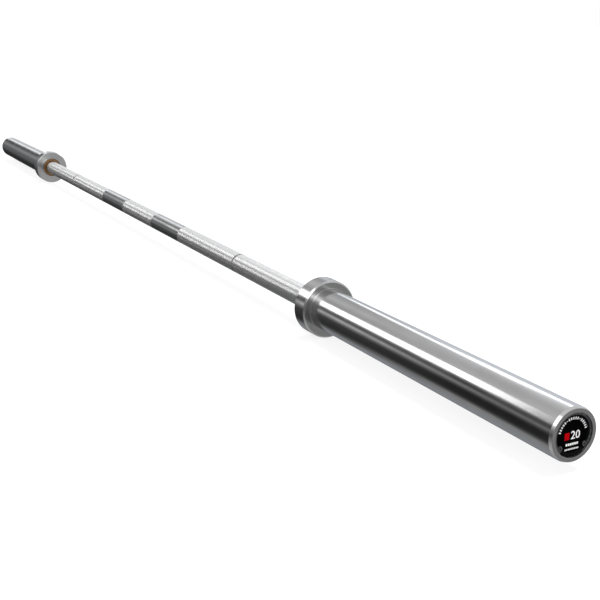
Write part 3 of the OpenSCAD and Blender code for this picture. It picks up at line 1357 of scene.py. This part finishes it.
@dataclass(frozen=True)
class SoftBox:
    """A lamp beside the bar, its length along it or slanted across it.

    Its angle round the bar and its slant are in degrees, and it reaches from start to
    end along the bar.
    """

    name: str
    angle: float
    width: float
    start: float
    end: float
    radiance: float
    slant: float = 0
    mirrored: bool = True
    distance: float = 2

    def build(self) -> None:
        """Adds the lamp, facing the bar's axis."""
        length = abs(self.end - self.start)
        lamp = bpy.data.lights.new(self.name, "AREA")
        lamp.shape = "RECTANGLE"
        lamp.size, lamp.size_y = length, self.width
        lamp.energy = self.radiance * math.pi * length * self.width
        turn = math.radians(self.angle)
        towards = Vector((0, math.cos(turn), math.sin(turn)))
        slanted = Matrix.Rotation(math.radians(self.slant), 3, towards)
        length_way = slanted @ Vector((1, 0, 0))
        width_way = slanted @ Vector((0, math.sin(turn), -math.cos(turn)))
        middle = Vector(((self.start + self.end) / 2, 0, 0)) + towards * self.distance
        holder = put(self.name, lamp)
        holder.matrix_world = Matrix(
            ((*length_way, 0), (*width_way, 0), (*towards, 0), (*middle, 1))
        ).transposed()
        holder.visible_camera = False
        holder.visible_glossy = self.mirrored


@dataclass(frozen=True)
class Fill:
    """A wide soft light that lifts matt surfaces and isn't mirrored in the metal.

    Its softness is how wide its source looks, in degrees.
    """

    name: str
    source: Vector
    strength: float
    softness: float

    def build(self) -> None:
        """Adds the light, shining from its source towards the bar."""
        lamp = bpy.data.lights.new(self.name, "SUN")
        lamp.energy = self.strength
        lamp.angle = math.radians(self.softness)
        holder = put(self.name, lamp)
        holder.rotation_mode = "QUATERNION"
        holder.rotation_quaternion = self.source.to_track_quat("Z", "Y")
        holder.visible_glossy = False


@dataclass
class Studio:
    """A white studio whose walls, seen in the chrome, run from pale to dark."""

    lens: float = 59.93
    sensor: float = 36
    lens_shift: tuple[float, float] = (-0.0008, 0.0008)
    eye: Vector = field(default_factory=lambda: Vector((1.6780, -0.5563, 0.3335)))
    gaze: Vector = field(default_factory=lambda: Vector((-0.8545, 0.4429, -0.2714)))
    cool: Colour = (0.955, 1.0, 1.07)
    cool_dip: float = -0.5
    cool_behind: Pair = (-0.05, 0.4)
    cool_near: Pair = (-0.3, -0.5)
    cool_far: tuple[float, ...] = (-0.88, -0.94, 0, 0.4)
    floor_size: float = 60
    floor_glow: float = 0.85
    floor_grey: float = 0.9
    walls: tuple[Walls, ...] = (
        # The near sleeve and on to the far end, then bevels, end faces and collar faces
        Walls("near", 0, 0, (
            (0, 0.75), (50, 0.82), (63, 0.74), (78, 0.62), (91, 0.56), (117, 0.62), (150, 0.35),
            (158, 0.06), (168, 0.06), (177, 0.24), (186, 0.07), (195, 0.015), (222, 0.025),
            (232, 0.09), (244, 0.31), (280, 0.32), (320, 0.22), (342, 0.45),
        )),
        Walls("middle", -0.74, -0.84, (
            (0, 0.52), (30, 0.6), (48, 0.4), (87, 0.62), (113, 0.42), (150, 0.3), (160, 0.08),
            (168, 0.2), (177, 0.72), (187, 0.24), (199, 0.06), (240, 0.03), (253, 0.07),
            (264, 0.22), (280, 0.28), (315, 0.25), (342, 0.45),
        )),
        Walls("grip", -0.86, -0.92, (
            (0, 0.85), (18, 0.75), (34, 0.48), (48, 0.9), (62, 1.3), (77, 0.85), (91, 0.4),
            (107, 0.18), (130, 0.45), (150, 0.28), (165, 0.16), (180, 0.19), (207, 0.07),
            (221, 0.08), (252, 0.025), (275, 0.05), (290, 0.17), (318, 0.36), (342, 0.6),
        )),
        Walls("far", -0.945, -0.965, (
            (0, 0.8), (32, 0.7), (50, 0.35), (66, 1.7), (75, 0.9), (84, 0.18), (96, 0.05),
            (112, 0.07), (138, 0.26), (155, 0.24), (168, 0.14), (205, 0.11), (225, 0.04),
            (258, 0.012), (275, 0.035), (292, 0.13), (318, 0.36), (342, 0.6),
        )),
        Walls("edge", -0.6, -0.3, (
            (0, 0.9), (48, 0.8), (81, 0.8), (150, 0.8), (170, 0.25), (186, 0.1), (203, 0.25),
            (220, 0.45), (236, 0.56), (270, 0.46), (330, 0.5),
        )),
        Walls("end", 0.25, 0.6, (
            (0, 0.35), (22, 0.75), (48, 0.3), (78, 0.36), (103, 0.6), (128, 2.2), (141, 0.7),
            (152, 0.3), (175, 0.2), (200, 0.2), (225, 0.11), (285, 0.12), (312, 0.24),
            (330, 0.26),
        )),
        Walls("inner", 0.86, 0.95, ((0, 0.5), (180, 0.3), (330, 0.46))),
    )  # fmt: skip

    def world(self) -> None:
        """Sets a world that is white to the camera and a studio to the chrome."""
        world = bpy.data.worlds.new("studio")
        bpy.context.scene.world = world
        world.use_nodes = True
        board = Board(world.node_tree)
        board.tree.nodes.clear()
        way = board.add("ShaderNodeTexCoord").outputs["Generated"]
        along, across, up = board.add("ShaderNodeSeparateXYZ", {0: way}).outputs
        angle = board.math("ARCTAN2", up, across)
        around = board.math("FRACT", board.math("DIVIDE", angle, math.tau))
        shown = self.walls[0].ramp(board, around)
        for walls in self.walls[1:]:
            share = board.spread(along, walls.start, walls.end)
            shown = board.blend(share, shown, walls.ramp(board, around))
        # The walls are cool behind and below the near end, and a little at the far end
        low = board.math("MULTIPLY_ADD", up, self.cool_dip, across)
        behind = board.spread(low, *self.cool_behind)
        tinted = board.math("MULTIPLY", behind, board.spread(along, *self.cool_near))
        far_off = board.spread(along, *self.cool_far)
        tinted = board.math("MAXIMUM", tinted, far_off)
        shades = {0: shown, 1: board.blend(tinted, (1, 1, 1), self.cool)}
        shown = board.add("ShaderNodeVectorMath", shades, operation="MULTIPLY").outputs[0]
        seen = board.add("ShaderNodeLightPath").outputs["Is Camera Ray"]
        shown = board.blend(seen, shown, (1, 1, 1))
        back = board.add("ShaderNodeBackground", {"Color": shown, "Strength": 1})
        board.add("ShaderNodeOutputWorld", {0: back.outputs[0]})

    def floor(self, height: float) -> None:
        """Lays the pale floor that the collars rest on.

        Args:
            height: Its height.
        """
        work = bmesh.new()
        bmesh.ops.create_grid(
            work, x_segments=1, y_segments=1, size=self.floor_size / 2,
            matrix=Matrix.Translation((0, 0, height)),
        )  # fmt: skip
        mesh = baked(work, "floor")
        floor = new_object("floor", mesh, Shading.FLAT)
        material = bpy.data.materials.new("pale_floor")
        material.use_nodes = True
        board = Board(material.node_tree)
        board.tree.nodes.clear()
        grey = (self.floor_grey, self.floor_grey, self.floor_grey, 1)
        matt = board.add("ShaderNodeBsdfDiffuse", {"Color": grey})
        glow = board.add("ShaderNodeEmission", {"Color": (1, 1, 1, 1), "Strength": 1})
        seen = board.add("ShaderNodeLightPath").outputs["Is Camera Ray"]
        share = board.math("MULTIPLY", seen, self.floor_glow)
        mix = {0: share, 1: matt.outputs[0], 2: glow.outputs[0]}
        mixed = board.add("ShaderNodeMixShader", mix)
        board.add("ShaderNodeOutputMaterial", {0: mixed.outputs[0]})
        mesh.materials.append(material)
        floor.visible_glossy = False
        floor.visible_diffuse = False
        floor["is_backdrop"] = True

    def camera(self) -> None:
        """Stands the camera where the photograph was taken from."""
        lens = bpy.data.cameras.new("camera")
        lens.lens = self.lens
        lens.sensor_width = self.sensor
        lens.shift_x, lens.shift_y = self.lens_shift
        lens.clip_end = 200
        holder = put("camera", lens)
        holder.location = self.eye
        holder.rotation_mode = "QUATERNION"
        holder.rotation_quaternion = self.gaze.to_track_quat("-Z", "Y")
        bpy.context.scene.camera = holder

    def build(self, ground: float) -> None:
        """Builds the studio.

        Args:
            ground: Height of the floor.
        """
        self.world()
        self.floor(ground)
        for box in (
            SoftBox("key_strip", angle=136, width=0.84, start=-4, end=-0.99, radiance=2.5),
            SoftBox("end_box", angle=131, width=1.4, start=0.3, end=2.2, radiance=1.6),
            SoftBox("back_strip", angle=37.5, width=0.5, start=-1.3, end=-0.3, radiance=1.5),
            SoftBox(
                "slanted_strip",
                angle=39.5,
                width=0.4,
                start=-2.4,
                end=-0.9,
                radiance=1.45,
                slant=-30,
            ),
            SoftBox("back_box", angle=22, width=1.9, start=0, end=3, radiance=1, mirrored=False),
        ):
            box.build()
        for fill in (
            Fill("overhead_fill", Vector((0, 0.25, 1)), strength=7, softness=30),
            Fill("right_fill", Vector((1, 0, 0.25)), strength=1.4, softness=20),
            Fill("left_fill", Vector((-1, 0, 0.25)), strength=1, softness=20),
        ):
            fill.build()
        self.camera()
        bpy.context.scene.view_settings.view_transform = "Standard"


def main() -> None:
    """Builds the bar, both ends and the studio, with the floor at the bottom of the CAD box."""
    logging.basicConfig(level=logging.INFO, format="%(name)s: %(message)s")
    cad_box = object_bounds()
    finishes = Finishes()
    Shaft().build(finishes)
    for side in Side:
        SleeveEnd(side).build(finishes)
    Studio().build(cad_box[0].z)


if __name__ == "__main__":
    main()
